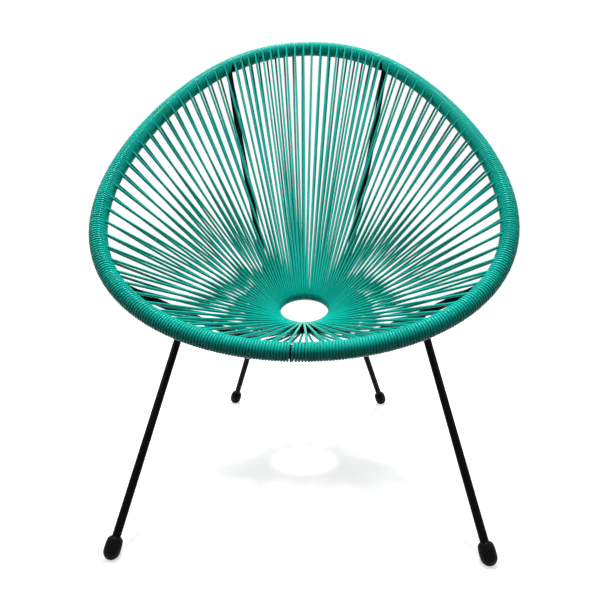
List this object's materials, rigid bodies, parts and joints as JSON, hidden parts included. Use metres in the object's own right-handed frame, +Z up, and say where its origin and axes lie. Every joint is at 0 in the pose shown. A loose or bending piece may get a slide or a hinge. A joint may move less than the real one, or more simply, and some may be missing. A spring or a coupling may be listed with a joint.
{
  "type": "acapulco chair",
  "caption": "Low outdoor lounge chair with an egg-shaped tube rim, a seat of cord strung from the rim to a small centre ring, and four splayed rod legs on rubber feet",
  "frame": {"origin": "On the floor, under the middle of the outline of the whole chair", "axes": "+X to the right as seen from the front, -Y is the front of the chair, +Z is up. Left and right in names are as seen from the front."},
  "size_m": [0.7344, 0.7608, 0.8602],
  "materials": {
    "cord": "smooth round vinyl cord, satin to gloss, teal green",
    "frame": "black powder coat, satin",
    "foot_rubber": "matte black"
  },
  "bodies": {
    "root": {"rim_tube": "frame", "centre_ring": "frame", "seat_cord_right_1": "cord", "seat_cord_left_1": "cord", "seat_cord_right_2": "cord", "seat_cord_left_2": "cord", "seat_cord_right_3": "cord", "seat_cord_left_3": "cord", "seat_cord_right_4": "cord", "seat_cord_left_4": "cord", "seat_cord_right_5": "cord", "seat_cord_left_5": "cord", "seat_cord_right_6": "cord", "seat_cord_left_6": "cord", "side_rail_right": "frame", "side_rail_left": "frame", "front_leg_right": "frame", "front_leg_left": "frame", "foot_cap_front_right": "foot_rubber", "foot_cap_front_left": "foot_rubber", "rear_leg_right": "frame", "rear_leg_left": "frame", "foot_cap_rear_right": "foot_rubber", "foot_cap_rear_left": "foot_rubber"}
  },
  "joints": []
}
